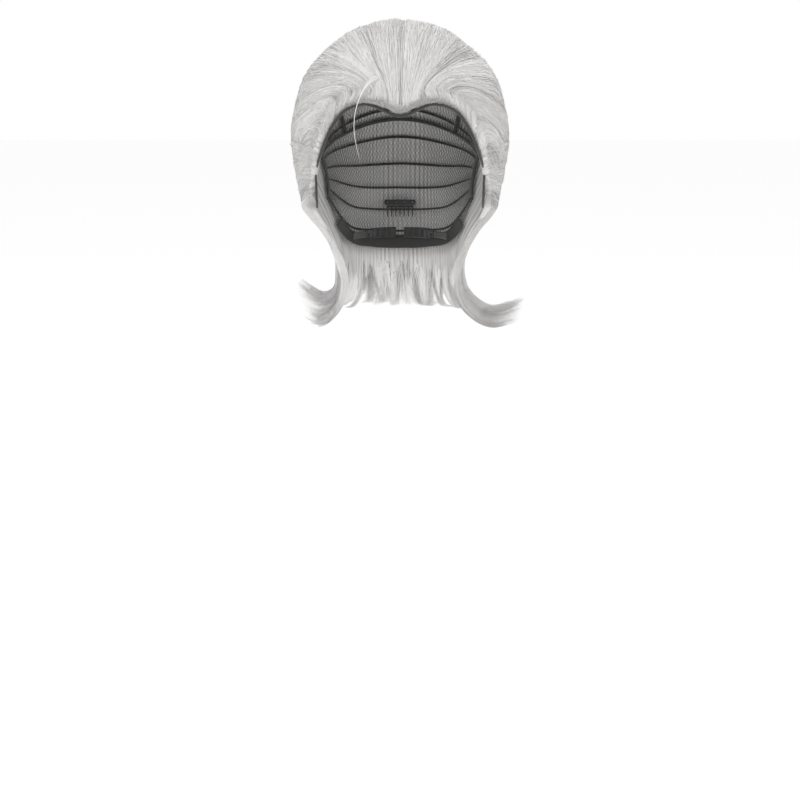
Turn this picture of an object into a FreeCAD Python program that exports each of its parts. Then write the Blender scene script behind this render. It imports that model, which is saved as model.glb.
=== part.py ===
"""Slicked-back costume wig with flipped ends, in millimetres.

A net cap, its edge bands, twelve weft tapes, ear tabs with bendable stays, two hook-and-loop
adjusters at the nape and three snap combs carry the hair. The hair is a set of plain closed
solids that follow one flow surface, which runs from the hairline over the head to the tips.

Frame: +Z up, the face opening looks towards -Y, +X is the wearer's left.
Origin: the middle of the wearer's head at the level where the head is measured.
"""

import FreeCAD
import Part
import math
import os

Vec = FreeCAD.Vector

# The head that the cap fits.
HEAD_HALF_WIDTH = 76.5
HEAD_FRONT = 92.0
HEAD_BACK = 96.0
HEAD_TOP = 98.0
NAPE_DEPTH = 95.0
SIDE_TAPER = 0.18
BACK_TAPER = 0.34
BACK_TAPER_POWER = 1.7

# The ear axis: a line along X through this point. Cap positions are an angle about it (0 is
# forward, 90 is up) and a tilt towards the side (0 is the middle plane, 90 is the ear).
EAR_Y = 12.0
EAR_Z = -28.0
FRONT_EDGE = [(0, 38), (15, 45.5), (27, 46.5), (36, 42), (46, 35), (58, 29), (70, 25)]
NAPE_EDGE = [(0, 231), (20, 233), (38, 236), (50, 228), (60, 216), (70, 200)]
# Away from the edges the rows run level, in these shares of the cap at each end.
FRONT_LEVEL = [(0, 42), (70, 36)]
NAPE_LEVEL = [(0, 231), (35, 229), (70, 212)]
LEVELLING_ROWS = 0.3

# Layers, as distance out from the head.
INNER_BAND = (0.2, 1.2)
NET = (1.5, 2.1)
EDGE_BAND = (0.2, 3.0)
WEFT = (2.4, 3.4)
HAIR_INNER = 4.2
HAIR_LEAST = 2.0

# Cap panels: tilts and rows. A row is 0 at the front edge and 1 at the nape edge.
EAR_TILT = 66.0
SIDE_SEAM_TILT = 34.7
SEAM = 0.3
LACE_END_ROW = 0.06
BACK_SEAM_ROW = 0.55
SEAM_ROW = 0.004
EDGE_BAND_ROWS = (-0.0085, -0.0015)
EDGE_BAND_TILT = 61.0
NAPE_BAND_ROWS = (0.945, 1.0)
NAPE_BAND_TILT = 48.0
EAR_BAND_TILTS = (62.5, 66.0)
EAR_BAND_ROWS = (0.05, 0.93)

WEFT_COUNT = 12
WEFT_FIRST_ROW = 0.035
WEFT_LAST_ROW = 0.925
WEFT_HEIGHT_ROWS = 0.009
WEFT_TILT = 61.0

# Ear tabs: from the front corner of the cap down in front of the ear.
TAB_ROOT_ANGLE = 25.0
TAB_TIP_ANGLE = -28.0
TAB_FRONT_TILTS = (62.0, 68.0)
TAB_EAR_TILTS = (72.0, 71.0)
TAB_EDGE_TILTS = 1.6
TAB_GAP_TILTS = 0.3
STAY_LAYER = (0.3, 1.1)
STAY_SHARES = (0.42, 0.58)

# Adjusters: everything lies on rings about a vertical line behind the head's middle.
TRACK_Y = 17.5
TAPE_RADII = (50.9, 51.5)
TAPE_HEIGHTS = (-82.5, -72.5)
TAPE_ANGLES = (4.0, 34.0)
LOOP_COUNT = 4
LOOP_FIRST_ANGLE = 9.0
LOOP_PITCH = 7.0
LOOP_WIDTH = 1.4
LOOP_BAR_RADII = (48.9, 49.5)
LOOP_LEG = 0.6
HOOK_RADII = (49.75, 50.65)
HOOK_HEIGHTS = (-80.9, -74.1)
HOOK_ANGLES = (27.0, 39.0)
HOOK_EYE_ANGLES = (35.6, 37.6)
HOOK_NECK = 1.4
STRAP_RADII = (49.9, 50.5)
STRAP_HEIGHTS = (-81.0, -74.0)
STRAP_ANGLES = (39.4, 60.0)

# Snap combs.
COMB_PLACES = {"left": (0.075, 27.0), "right": (0.075, -27.0), "nape": (0.835, 0.0)}
COMB_LIFT = -1.3
COMB_BASE = (30.0, 5.0)
COMB_SPINE = (26.0, 2.2)
COMB_SHEET = 0.7
COMB_TEETH = 7
COMB_TOOTH = (1.5, 9.0)
COMB_GAP = 0.5
SEW_HOLE_RADIUS = 0.7
SEW_HOLES = 4

# The flow surface: guide curves from the middle (0) to in front of the ear (6), each from the
# hairline to the tips. Every guide has the same number of stations.
GUIDES = [
    [(0, -83, 46), (0, -90, 60), (0, -84, 86), (0, -58, 110), (0, -18, 122), (0, 28, 120),
     (0, 72, 99), (0, 104, 58), (0, 116, 8), (0, 108, -45), (0, 90, -85), (0, 83, -110),
     (0, 84, -131), (0, 93, -149), (0, 108, -152)],
    [(16, -79, 52), (20, -85, 66), (27, -78, 89), (32, -52, 107), (34, -14, 116), (34, 30, 113),
     (32, 72, 92), (30, 101, 52), (29, 112, 4), (27, 104, -46), (25, 87, -85), (25, 80, -110),
     (25, 82, -131), (28, 91, -149), (36, 105, -152)],
    [(31, -69, 53), (38, -75, 66), (50, -68, 84), (59, -42, 95), (62, -6, 100), (61, 33, 96),
     (57, 68, 76), (53, 93, 42), (50, 103, -2), (46, 96, -47), (41, 81, -85), (40, 74, -110),
     (40, 75, -131), (46, 82, -149), (60, 94, -152)],
    [(47, -58, 46), (56, -64, 56), (70, -57, 68), (80, -32, 76), (83, 0, 77), (81, 34, 70),
     (75, 63, 50), (68, 82, 22), (63, 90, -14), (57, 84, -52), (52, 72, -86), (50, 66, -110),
     (51, 66, -131), (61, 70, -148), (82, 78, -150)],
    [(59, -50, 29), (69, -54, 36), (83, -44, 44), (92, -20, 48), (94, 8, 44), (90, 35, 34),
     (83, 57, 16), (75, 70, -8), (68, 76, -34), (62, 72, -60), (56, 63, -88), (55, 57, -110),
     (58, 57, -131), (75, 59, -149), (103, 62, -143)],
    [(68, -41, 8), (78, -44, 11), (90, -33, 14), (97, -10, 14), (97, 14, 8), (92, 36, -5),
     (85, 51, -22), (78, 59, -40), (71, 61, -56), (65, 58, -73), (61, 52, -92), (60, 47, -112),
     (66, 47, -131), (88, 48, -146), (118, 50, -137)],
    [(76, -14, -30), (82, -12, -33), (87, -4, -38), (89, 8, -45), (86, 20, -53), (81, 29, -61),
     (75, 35, -69), (70, 38, -77), (65, 39, -86), (61.5, 38, -95), (58, 37, -105), (54, 34, -122),
     (62, 33, -145), (86, 33, -161), (117, 34, -154)],
]
RIGHT_FLIP_STATION = 12
RIGHT_FLIP_START = 55.0
RIGHT_FLIP_REACH = 0.65
RIGHT_FLIP_RISE = {12: 3.0, 13: 12.0, 14: 16.0}
RIGHT_FLIP_RISE_SHARES = {3: 0.5, 4: 1.0, 5: 1.0}

# Hair sections on the flow surface: guide range, then station range.
GUIDE_GAP = 0.05
STATION_GAP = 0.03
FIRST_STATION = 0.35
FRONT_END = 4.0
CROWN_END = 7.0
LAST_STATION = 14.0
MIDDLE = 2.2
REAR_FLIP = 4.2
UPPER_FLIP = 5.35
SWING_ABOVE = 9.85
SWING_BELOW = 10.1
LEAVES_CAP = (8.5, 9.9)
HANG_THICKNESS = (8.0, 2.5)
NORMAL_GUIDE_STEP = 1.0
NORMAL_STATION_STEP = 0.4

FORELOCK = [(-22, -86, 75), (-27, -90.5, 71), (-33, -95, 62), (-37, -98, 50), (-38.5, -99.5, 36),
            (-36.5, -100, 20), (-32, -99, 3), (-26, -97, -13)]
FORELOCK_RADII = (2.0, 0.5)


def clamp01(value):
    return max(0.0, min(1.0, value))


def mix(a, b, share):
    return a + (b - a) * share


def smooth_step(value):
    share = clamp01(value)
    return share * share * (3 - 2 * share)


def through(pairs, at):
    """A smooth curve through (position, value) pairs, level at both ends."""
    at = abs(at)
    if at >= pairs[-1][0]:
        return float(pairs[-1][1])
    k = max(i for i in range(len(pairs) - 1) if pairs[i][0] <= at)
    slopes = []
    for i in (k, k + 1):
        before = pairs[max(i - 1, 0)]
        after = pairs[min(i + 1, len(pairs) - 1)]
        slopes.append((after[1] - before[1]) / (after[0] - before[0]) if i else 0.0)
    width = pairs[k + 1][0] - pairs[k][0]
    t = (at - pairs[k][0]) / width
    start = pairs[k][1] * (1 + 2 * t) * (1 - t) ** 2 + slopes[0] * width * t * (1 - t) ** 2
    end = pairs[k + 1][1] * t * t * (3 - 2 * t) + slopes[1] * width * t * t * (t - 1)
    return start + end


def head_excess(point, lift):
    """Below 0 inside the head grown by lift, 0 on it and above 0 outside."""
    half_width = HEAD_HALF_WIDTH
    depth = HEAD_BACK if point.y > 0 else HEAD_FRONT
    rise = 0.0
    if point.z > 0:
        rise = (point.z / (HEAD_TOP + lift)) ** 2
    else:
        drop = min(-point.z / NAPE_DEPTH, 1.0)
        half_width *= 1 - SIDE_TAPER * drop * drop
        if point.y > 0:
            depth *= 1 - BACK_TAPER * drop ** BACK_TAPER_POWER
    across = (point.x / (half_width + lift)) ** 2
    along = (point.y / (depth + lift)) ** 2
    return across + along + rise - 1


def on_head(direction, lift):
    """Where a ray from the ear axis meets the head grown by lift."""
    start = Vec(0, EAR_Y, EAR_Z)
    ray = Vec(direction).normalize()
    near, far = 20.0, 180.0
    for _ in range(40):
        middle = (near + far) / 2
        if head_excess(start + ray * middle, lift) > 0:
            far = middle
        else:
            near = middle
    return start + ray * far


def at_angle(angle, tilt, lift):
    """The point of the head at an angle about the ear axis and a tilt towards the side."""
    turn, lean = math.radians(angle), math.radians(tilt)
    ray = Vec(math.sin(lean), -math.cos(lean) * math.cos(turn), math.cos(lean) * math.sin(turn))
    return on_head(ray, lift)


def on_cap(row, tilt, lift):
    """The point of the cap at a row from its front edge to its nape edge."""
    from_front = smooth_step(row / LEVELLING_ROWS)
    from_nape = smooth_step((1 - row) / LEVELLING_ROWS)
    front = mix(through(FRONT_EDGE, tilt), through(FRONT_LEVEL, tilt), from_front)
    nape = mix(through(NAPE_EDGE, tilt), through(NAPE_LEVEL, tilt), from_nape)
    return at_angle(mix(front, nape, row), tilt, lift)


def sharpened(points):
    """Spline poles whose curve runs through the points, to within a hair's breadth."""
    poles = list(points)
    for i in range(1, len(points) - 1):
        bend = points[i - 1] + points[i + 1] - points[i] * 2
        poles[i] = points[i] - bend / 6
    return poles


def spline_face(poles):
    """A face from a grid of poles, smooth along every side that has four poles or more."""
    degrees, knots, mults = [], [], []
    for count in (len(poles), len(poles[0])):
        degree = 3 if count > 3 else count - 1
        spans = count - degree
        degrees.append(degree)
        knots.append([float(k) for k in range(spans + 1)])
        mults.append([degree + 1] + [1] * (spans - 1) + [degree + 1])
    surface = Part.BSplineSurface()
    surface.buildFromPolesMultsKnots(poles, *mults, *knots, False, False, *degrees)
    return surface.toShape()


def thick_patch(inner, outer, columns, rows):
    """A closed solid between two four-sided surfaces, each a function of two shares."""
    grids = []
    for place in (inner, outer):
        grid = [[place(i / columns, j / rows) for j in range(rows + 1)] for i in range(columns + 1)]
        grid = [sharpened(line) for line in grid]
        flipped = [sharpened(line) for line in zip(*grid)]
        grids.append([list(line) for line in zip(*flipped)])
    low, high = grids
    faces = [spline_face(low), spline_face(high)]
    faces.append(spline_face([low[0], high[0]]))
    faces.append(spline_face([low[-1], high[-1]]))
    faces.append(spline_face([[line[0] for line in low], [line[0] for line in high]]))
    faces.append(spline_face([[line[-1] for line in low], [line[-1] for line in high]]))
    shell = Part.makeShell(faces)
    shell.sewShape()
    solid = Part.makeSolid(shell)
    if solid.Volume < 0:
        solid.reverse()
    return solid


def cap_patch(rows, tilts, layer, row_steps, tilt_steps):
    """A piece of the cap between two rows and two tilts."""
    def place(lift):
        return lambda r, t: on_cap(mix(*rows, r), mix(*tilts, t), lift)
    return thick_patch(place(layer[0]), place(layer[1]), row_steps, tilt_steps)


def save(name, *solids):
    shape = solids[0] if len(solids) == 1 else Part.makeCompound(solids)
    shape.exportStep(f"parts/{name}.step")


def build_cap():
    """Net panels, edge bands and weft tapes."""
    lace_tilts = (-SIDE_SEAM_TILT, SIDE_SEAM_TILT)
    save("front_lace", cap_patch((0.0, LACE_END_ROW), lace_tilts, NET, 2, 16))
    crown_rows = (LACE_END_ROW + SEAM_ROW, BACK_SEAM_ROW)
    save("crown_net", cap_patch(crown_rows, lace_tilts, NET, 12, 12))
    for side, sign in (("left", 1), ("right", -1)):
        tilts = (sign * (SIDE_SEAM_TILT + SEAM), sign * EAR_TILT)
        save(f"side_net_{side}", cap_patch((0.0, BACK_SEAM_ROW), tilts, NET, 12, 6))
        tilts = tuple(sign * tilt for tilt in EAR_BAND_TILTS)
        save(f"ear_binding_{side}", cap_patch(EAR_BAND_ROWS, tilts, INNER_BAND, 20, 2))
    back_rows = (BACK_SEAM_ROW + SEAM_ROW, 1.0)
    save("back_net", cap_patch(back_rows, (-EAR_TILT, EAR_TILT), NET, 12, 20))
    edge_tilts = (-EDGE_BAND_TILT, EDGE_BAND_TILT)
    save("front_edge_band", cap_patch(EDGE_BAND_ROWS, edge_tilts, EDGE_BAND, 2, 28))
    nape_tilts = (-NAPE_BAND_TILT, NAPE_BAND_TILT)
    save("nape_band", cap_patch(NAPE_BAND_ROWS, nape_tilts, INNER_BAND, 2, 18))
    for i in range(WEFT_COUNT):
        row = mix(WEFT_FIRST_ROW, WEFT_LAST_ROW, i / (WEFT_COUNT - 1))
        rows = (row, row + WEFT_HEIGHT_ROWS)
        save(f"weft_tape_{i + 1:02d}", cap_patch(rows, (-WEFT_TILT, WEFT_TILT), WEFT, 2, 20))


def build_ear_tabs():
    """Each tab hangs in front of the ear, with an edging and a bendable stay."""
    for side, sign in (("left", 1), ("right", -1)):
        def tab_point(down, front_tilt, rear_tilt, across, lift):
            angle = mix(TAB_ROOT_ANGLE, TAB_TIP_ANGLE, down)
            return at_angle(angle, sign * mix(front_tilt, rear_tilt, across), lift)

        def tab_piece(layer, tilts_at, steps):
            def place(lift):
                return lambda d, a: tab_point(d, *tilts_at(d), a, lift)
            return thick_patch(place(layer[0]), place(layer[1]), steps, 2)

        def cloth(down):
            return mix(*TAB_FRONT_TILTS, down), mix(*TAB_EAR_TILTS, down)

        def edging(down):
            front = mix(*TAB_FRONT_TILTS, down) - TAB_GAP_TILTS
            return front - TAB_EDGE_TILTS, front

        def stay(down):
            front, rear = cloth(down)
            return mix(front, rear, STAY_SHARES[0]), mix(front, rear, STAY_SHARES[1])

        save(f"ear_tab_{side}", tab_piece(NET, cloth, 8))
        save(f"ear_tab_edging_{side}", tab_piece(EDGE_BAND, edging, 8))
        save(f"ear_stay_{side}", tab_piece(STAY_LAYER, stay, 8))


def ring_block(radii, angles, heights, sign):
    """A piece of a ring about the adjusters' vertical line. Angle 0 points back."""
    low, high = sorted(sign * angle for angle in angles)
    corners = [(radii[0], heights[0]), (radii[1], heights[0]),
               (radii[1], heights[1]), (radii[0], heights[1])]
    return ring_sweep(corners, low, high)


def ring_sweep(corners, low, high):
    """Turns a closed outline of (radius, height) corners from one angle to another."""
    points = [Vec(0, TRACK_Y + radius, height) for radius, height in corners]
    face = Part.Face(Part.makePolygon(points + points[:1]))
    centre, up = Vec(0, TRACK_Y, 0), Vec(0, 0, 1)
    face.rotate(centre, up, -high)
    return face.revolve(centre, up, high - low)


def loop_outline():
    """The C outline of one thread loop: two legs from the tape and a bar across them."""
    bottom, top = TAPE_HEIGHTS[0] + 0.5, TAPE_HEIGHTS[1] - 0.5
    inner, bar = LOOP_BAR_RADII
    tape = TAPE_RADII[0]
    return [(tape, bottom), (inner, bottom), (inner, top), (tape, top), (tape, top - LOOP_LEG),
            (bar, top - LOOP_LEG), (bar, bottom + LOOP_LEG), (tape, bottom + LOOP_LEG)]


def build_adjusters():
    """Loop tapes on the cap, and an elastic strap with a sliding hook on each side."""
    for side, sign in (("left", 1), ("right", -1)):
        save(f"loop_tape_{side}", ring_block(TAPE_RADII, TAPE_ANGLES, TAPE_HEIGHTS, sign))
        loops = []
        for i in range(LOOP_COUNT):
            middle = sign * (LOOP_FIRST_ANGLE + i * LOOP_PITCH)
            loops.append(ring_sweep(loop_outline(), middle - LOOP_WIDTH / 2, middle + LOOP_WIDTH / 2))
        save(f"thread_loops_{side}", *loops)
        hook = ring_block(HOOK_RADII, HOOK_ANGLES, HOOK_HEIGHTS, sign)
        eye_heights = (HOOK_HEIGHTS[0] + HOOK_NECK, HOOK_HEIGHTS[1] - HOOK_NECK)
        eye_radii = (HOOK_RADII[0] - 1, HOOK_RADII[1] + 1)
        save(f"strap_hook_{side}", hook.cut(ring_block(eye_radii, HOOK_EYE_ANGLES, eye_heights, sign)))
        save(f"elastic_strap_{side}", ring_block(STRAP_RADII, STRAP_ANGLES, STRAP_HEIGHTS, sign))


def comb_frame(row, tilt):
    """A placement on the cap's inside: X along the row, Y towards the front edge, Z outwards."""
    step = 0.01
    origin = on_cap(row, tilt, COMB_LIFT)
    along = (on_cap(row, tilt + 1, COMB_LIFT) - on_cap(row, tilt - 1, COMB_LIFT)).normalize()
    forward = on_cap(row - step, tilt, COMB_LIFT) - on_cap(row + step, tilt, COMB_LIFT)
    out = along.cross(forward).normalize()
    if out.dot(origin - Vec(0, EAR_Y, EAR_Z)) < 0:
        out = out * -1
        along = along * -1
    forward = out.cross(along)
    return FreeCAD.Placement(origin, FreeCAD.Rotation(along, forward, out, "ZXY"))


def plate(outline, bottom, height):
    points = [Vec(x, y, bottom) for x, y in outline]
    return Part.Face(Part.makePolygon(points + points[:1])).extrude(Vec(0, 0, height))


def comb_base():
    """The sewn half of a snap comb: a flat bar with a row of sewing holes."""
    half, depth = COMB_BASE[0] / 2, COMB_BASE[1]
    corner = 1.5
    outline = [(-half, corner), (-half + corner, 0), (half - corner, 0), (half, corner),
               (half, depth - corner), (half - corner, depth), (-half + corner, depth),
               (-half, depth - corner)]
    bar = plate(outline, -COMB_SHEET, COMB_SHEET)
    for i in range(SEW_HOLES):
        x = mix(-half + 3, half - 3, i / (SEW_HOLES - 1))
        hole = Part.makeCylinder(SEW_HOLE_RADIUS, 3 * COMB_SHEET, Vec(x, depth / 2, -2 * COMB_SHEET))
        bar = bar.cut(hole)
    return bar


def comb_teeth():
    """The snapping half: a spine with tapered teeth that point away from the base."""
    half, spine = COMB_SPINE[0] / 2, COMB_SPINE[1]
    width, length = COMB_TOOTH
    outline = [(-half, -COMB_GAP), (-half, -COMB_GAP - spine)]
    for i in range(COMB_TEETH):
        x = mix(-half + width / 2 + 0.2, half - width / 2 - 0.2, i / (COMB_TEETH - 1))
        root, tip = -COMB_GAP - spine, -COMB_GAP - spine - length
        outline += [(x - width / 2, root), (x - width / 4, tip), (x + width / 4, tip), (x + width / 2, root)]
    outline += [(half, -COMB_GAP - spine), (half, -COMB_GAP)]
    return plate(outline, -COMB_SHEET, COMB_SHEET)


def build_combs():
    for place, (row, tilt) in COMB_PLACES.items():
        frame = comb_frame(row, tilt)
        for name, shape in (("base", comb_base()), ("teeth", comb_teeth())):
            shape.Placement = frame
            save(f"snap_comb_{name}_{place}", shape)


def side_guides(sign):
    """The guides of one side, with the wearer's right flips shorter and lifted."""
    guides = []
    for number, guide in enumerate(GUIDES[1:], 1):
        rise_share = RIGHT_FLIP_RISE_SHARES.get(number, 0.0)
        stations = []
        for k, (x, y, z) in enumerate(guide):
            if sign < 0 and k >= RIGHT_FLIP_STATION and x > RIGHT_FLIP_START:
                x = RIGHT_FLIP_START + (x - RIGHT_FLIP_START) * RIGHT_FLIP_REACH
                z += RIGHT_FLIP_RISE.get(k, 0.0) * rise_share
            stations.append(Vec(sign * x, y, z))
        guides.append(stations)
    return guides


def curve_point(points, at):
    """A smooth curve through evenly numbered points."""
    k = max(0, min(int(at), len(points) - 2))
    t = at - k
    a, b = points[k], points[k + 1]
    before = points[k - 1] if k else a * 2 - b
    after = points[k + 2] if k + 2 < len(points) else b * 2 - a
    bend = before * (-t + 2 * t * t - t ** 3) + a * (2 - 5 * t * t + 3 * t ** 3)
    return (bend + b * (t + 4 * t * t - 3 * t ** 3) + after * (t ** 3 - t * t)) / 2


class Flow:
    """The hair's outer surface by guide (-6 right to 6 left) and station (0 hairline to 14)."""

    def __init__(self):
        middle = [Vec(*point) for point in GUIDES[0]]
        self.guides = side_guides(-1)[::-1] + [middle] + side_guides(1)

    def outer(self, guide, station):
        return curve_point([curve_point(line, station) for line in self.guides], guide + 6)

    def normal(self, guide, station):
        low, high = max(guide - NORMAL_GUIDE_STEP, -6.0), min(guide + NORMAL_GUIDE_STEP, 6.0)
        across = self.outer(high, station) - self.outer(low, station)
        low, high = max(station - NORMAL_STATION_STEP, 0), min(station + NORMAL_STATION_STEP, LAST_STATION)
        along = self.outer(guide, high) - self.outer(guide, low)
        return across.cross(along).normalize()


def hair_section(flow, guides, stations):
    """One hair solid, with its inner side on the cap, or hanging free below the nape."""
    def outer(g, s):
        guide, station = mix(*guides, g), mix(*stations, s)
        point = flow.outer(guide, station)
        floor = on_head(point - Vec(0, EAR_Y, EAR_Z), HAIR_INNER + HAIR_LEAST)
        if station < SWING_ABOVE and (point - floor).dot(point - Vec(0, EAR_Y, EAR_Z)) < 0:
            return floor
        return point

    def inner(g, s):
        guide, station = mix(*guides, g), mix(*stations, s)
        point = outer(g, s)
        scalp = on_head(point - Vec(0, EAR_Y, EAR_Z), HAIR_INNER)
        share = clamp01((station - SWING_BELOW) / (LAST_STATION - SWING_BELOW))
        hanging = point - flow.normal(guide, station) * mix(*HANG_THICKNESS, share)
        start, end = LEAVES_CAP
        return mix(scalp, hanging, smooth_step((station - start) / (end - start)))

    columns = max(4, round(2.5 * abs(guides[1] - guides[0])))
    rows = max(6, round(2.5 * (stations[1] - stations[0])))
    return thick_patch(inner, outer, columns, rows)


def build_hair(flow):
    middle = (-MIDDLE + GUIDE_GAP, MIDDLE - GUIDE_GAP)
    tops = {"front": (FIRST_STATION, FRONT_END), "crown": (FRONT_END, CROWN_END),
            "back": (CROWN_END, SWING_ABOVE + STATION_GAP)}
    for name, (start, end) in tops.items():
        stations = (start + STATION_GAP, end - STATION_GAP)
        save(f"{name}_hair", hair_section(flow, middle, stations))
    sides = {"temple": tops["front"], "side": tops["crown"], "rear_side": tops["back"]}
    for side, sign in (("left", 1), ("right", -1)):
        guides = (sign * (MIDDLE + GUIDE_GAP), sign * 6.0)
        for name, (start, end) in sides.items():
            stations = (start + STATION_GAP, end - STATION_GAP)
            save(f"{name}_hair_{side}", hair_section(flow, guides, stations))
        flips = {"rear_flip": (MIDDLE, REAR_FLIP), "upper_flip": (REAR_FLIP, UPPER_FLIP),
                 "lower_flip": (UPPER_FLIP, 6.0)}
        for name, (near, far) in flips.items():
            guides = (sign * (near + GUIDE_GAP), sign * (far - GUIDE_GAP))
            save(f"{name}_{side}", hair_section(flow, guides, (SWING_BELOW, LAST_STATION)))
    save("nape_hair", hair_section(flow, middle, (SWING_BELOW, LAST_STATION)))


def build_forelock():
    """One fine tapered lock that falls in front of the forehead."""
    path = Part.BSplineCurve()
    path.interpolate([Vec(*point) for point in FORELOCK])
    start, end = path.FirstParameter, path.LastParameter
    sections = []
    count = 14
    for i in range(count):
        share = i / (count - 1)
        at = mix(start, end, mix(0.04, 1.0, share))
        radius = mix(*FORELOCK_RADII, share)
        sections.append(Part.Wire(Part.makeCircle(radius, path.value(at), path.tangent(at)[0])))
    save("forelock", Part.makeLoft(sections, True, False))


def main():
    os.makedirs("parts", exist_ok=True)
    build_cap()
    build_ear_tabs()
    build_adjusters()
    build_combs()
    build_hair(Flow())
    build_forelock()


main()
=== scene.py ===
import bpy
import numpy as np
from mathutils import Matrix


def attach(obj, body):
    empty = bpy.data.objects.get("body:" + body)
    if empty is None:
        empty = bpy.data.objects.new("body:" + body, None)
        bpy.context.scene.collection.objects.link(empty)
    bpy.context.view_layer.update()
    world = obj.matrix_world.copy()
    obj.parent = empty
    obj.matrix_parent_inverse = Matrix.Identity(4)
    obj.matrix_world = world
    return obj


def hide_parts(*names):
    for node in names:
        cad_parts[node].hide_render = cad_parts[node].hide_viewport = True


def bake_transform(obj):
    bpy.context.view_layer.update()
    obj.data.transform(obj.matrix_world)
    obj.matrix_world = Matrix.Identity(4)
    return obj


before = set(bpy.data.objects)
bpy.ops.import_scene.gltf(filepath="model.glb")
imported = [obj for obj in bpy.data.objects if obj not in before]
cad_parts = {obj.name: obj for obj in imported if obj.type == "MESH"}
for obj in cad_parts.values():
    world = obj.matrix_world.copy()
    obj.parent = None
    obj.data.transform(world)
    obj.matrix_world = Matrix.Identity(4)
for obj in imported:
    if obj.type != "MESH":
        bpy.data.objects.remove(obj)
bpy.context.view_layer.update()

# Every length below is in millimetres until a mesh is made. +Z is up and -Y is forward.
MM = 0.001
rng = np.random.default_rng(20417)

# ---------------------------------------------------------------- the head and the cap
HEAD_HALF_WIDTH, HEAD_FRONT, HEAD_BACK, HEAD_TOP = 76.5, 92.0, 96.0, 98.0
NAPE_DEPTH, SIDE_TAPER, BACK_TAPER, BACK_TAPER_POWER = 95.0, 0.18, 0.34, 1.7
EAR = np.array([0.0, 12.0, -28.0])
FRONT_EDGE = [(0, 38), (15, 45.5), (27, 46.5), (36, 42), (46, 35), (58, 29), (70, 25)]
NAPE_EDGE = [(0, 231), (20, 233), (38, 236), (50, 228), (60, 216), (70, 200)]
FRONT_LEVEL = [(0, 42), (70, 36)]
NAPE_LEVEL = [(0, 231), (35, 229), (70, 212)]
LEVELLING_ROWS = 0.3
TAB_ANGLES = (25.0, -28.0)
TAB_FRONT_TILTS = (62.0, 68.0)
TAB_EAR_TILTS = (72.0, 71.0)
TRACK_Y = 17.5
TRACK_HEIGHT = -77.5
LACE_TILTS = (-34.7, 34.7)
WEFT_COUNT = 12
WEFT_ROWS = (0.035, 0.925)

# The hair's flow surface: guides from the middle to in front of the ear, hairline to tips.
GUIDES = [
    [(0, -83, 46), (0, -90, 60), (0, -84, 86), (0, -58, 110), (0, -18, 122), (0, 28, 120),
     (0, 72, 99), (0, 104, 58), (0, 116, 8), (0, 108, -45), (0, 90, -85), (0, 83, -110),
     (0, 84, -131), (0, 93, -149), (0, 108, -152)],
    [(16, -79, 52), (20, -85, 66), (27, -78, 89), (32, -52, 107), (34, -14, 116), (34, 30, 113),
     (32, 72, 92), (30, 101, 52), (29, 112, 4), (27, 104, -46), (25, 87, -85), (25, 80, -110),
     (25, 82, -131), (28, 91, -149), (36, 105, -152)],
    [(31, -69, 53), (38, -75, 66), (50, -68, 84), (59, -42, 95), (62, -6, 100), (61, 33, 96),
     (57, 68, 76), (53, 93, 42), (50, 103, -2), (46, 96, -47), (41, 81, -85), (40, 74, -110),
     (40, 75, -131), (46, 82, -149), (60, 94, -152)],
    [(47, -58, 46), (56, -64, 56), (70, -57, 68), (80, -32, 76), (83, 0, 77), (81, 34, 70),
     (75, 63, 50), (68, 82, 22), (63, 90, -14), (57, 84, -52), (52, 72, -86), (50, 66, -110),
     (51, 66, -131), (61, 70, -148), (82, 78, -150)],
    [(59, -50, 29), (69, -54, 36), (83, -44, 44), (92, -20, 48), (94, 8, 44), (90, 35, 34),
     (83, 57, 16), (75, 70, -8), (68, 76, -34), (62, 72, -60), (56, 63, -88), (55, 57, -110),
     (58, 57, -131), (75, 59, -149), (103, 62, -143)],
    [(68, -41, 8), (78, -44, 11), (90, -33, 14), (97, -10, 14), (97, 14, 8), (92, 36, -5),
     (85, 51, -22), (78, 59, -40), (71, 61, -56), (65, 58, -73), (61, 52, -92), (60, 47, -112),
     (66, 47, -131), (88, 48, -146), (118, 50, -137)],
    [(76, -14, -30), (82, -12, -33), (87, -4, -38), (89, 8, -45), (86, 20, -53), (81, 29, -61),
     (75, 35, -69), (70, 38, -77), (65, 39, -86), (61.5, 38, -95), (58, 37, -105), (54, 34, -122),
     (62, 33, -145), (86, 33, -161), (117, 34, -154)],
]
RIGHT_FLIP_STATION, RIGHT_FLIP_START, RIGHT_FLIP_REACH = 12, 55.0, 0.65
RIGHT_FLIP_RISE = {12: 3.0, 13: 12.0, 14: 16.0}
RIGHT_FLIP_RISE_SHARES = {3: 0.5, 4: 1.0, 5: 1.0}
LAST_STATION = 14.0
HANG_START = 10.0
LEAVES_CAP, LEAVING_LENGTH = 8.5, 1.4
HANG_THICKNESS = (8.0, 2.5)
HAIR_INNER = 4.2
FORELOCK = [(-22, -86, 75), (-27, -90.5, 71), (-33, -95, 62), (-37, -98, 50), (-38.5, -99.5, 36),
            (-36.5, -100, 20), (-32, -99, 3), (-26, -97, -13)]
FORELOCK_ROOT = (-16, -82.5, 77)


def mix(a, b, share):
    return a + (b - a) * share


def smooth(value):
    share = np.clip(value, 0.0, 1.0)
    return share * share * (3 - 2 * share)


def unit(v):
    return v / np.maximum(np.linalg.norm(v, axis=-1, keepdims=True), 1e-9)


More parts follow.
